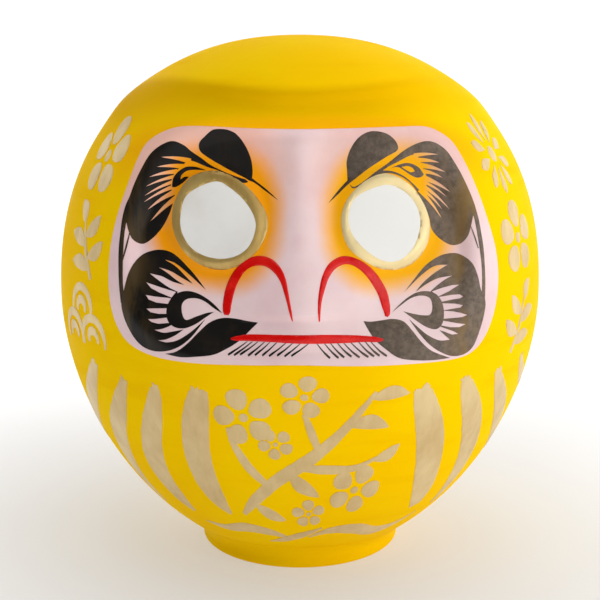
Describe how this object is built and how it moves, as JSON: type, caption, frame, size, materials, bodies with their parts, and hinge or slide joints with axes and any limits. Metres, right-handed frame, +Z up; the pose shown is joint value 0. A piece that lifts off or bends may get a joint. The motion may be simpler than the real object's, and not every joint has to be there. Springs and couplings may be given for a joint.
{
  "type": "daruma doll",
  "caption": "Hollow papier-mache daruma doll with a hooded round body, a sunken painted face, a weighted base and a flat foot ring.",
  "frame": {"origin": "centre of the foot ring's underside, on the surface that the doll stands on", "axes": "+Z up, -Y the way the face looks, +X to the right of someone facing the doll"},
  "size_m": [0.3, 0.2885, 0.323],
  "materials": {
    "robe_paint": "satin",
    "raw_paper": "matte",
    "board": "matte",
    "clay": "matte",
    "skin_paint": "matte",
    "black_paint": "gloss",
    "red_paint": "gloss",
    "gold_paint": "satin",
    "white_paint": "matte"
  },
  "bodies": {
    "root": {"front_shell": "robe_paint", "back_shell": "robe_paint", "seam_strip_left": "raw_paper", "seam_strip_right": "raw_paper", "seam_strip_crown": "raw_paper", "foot_ring": "robe_paint", "base_board": "board", "base_weight": "clay", "weight_bed": "raw_paper", "bottom_paper": "raw_paper"}
  },
  "joints": []
}
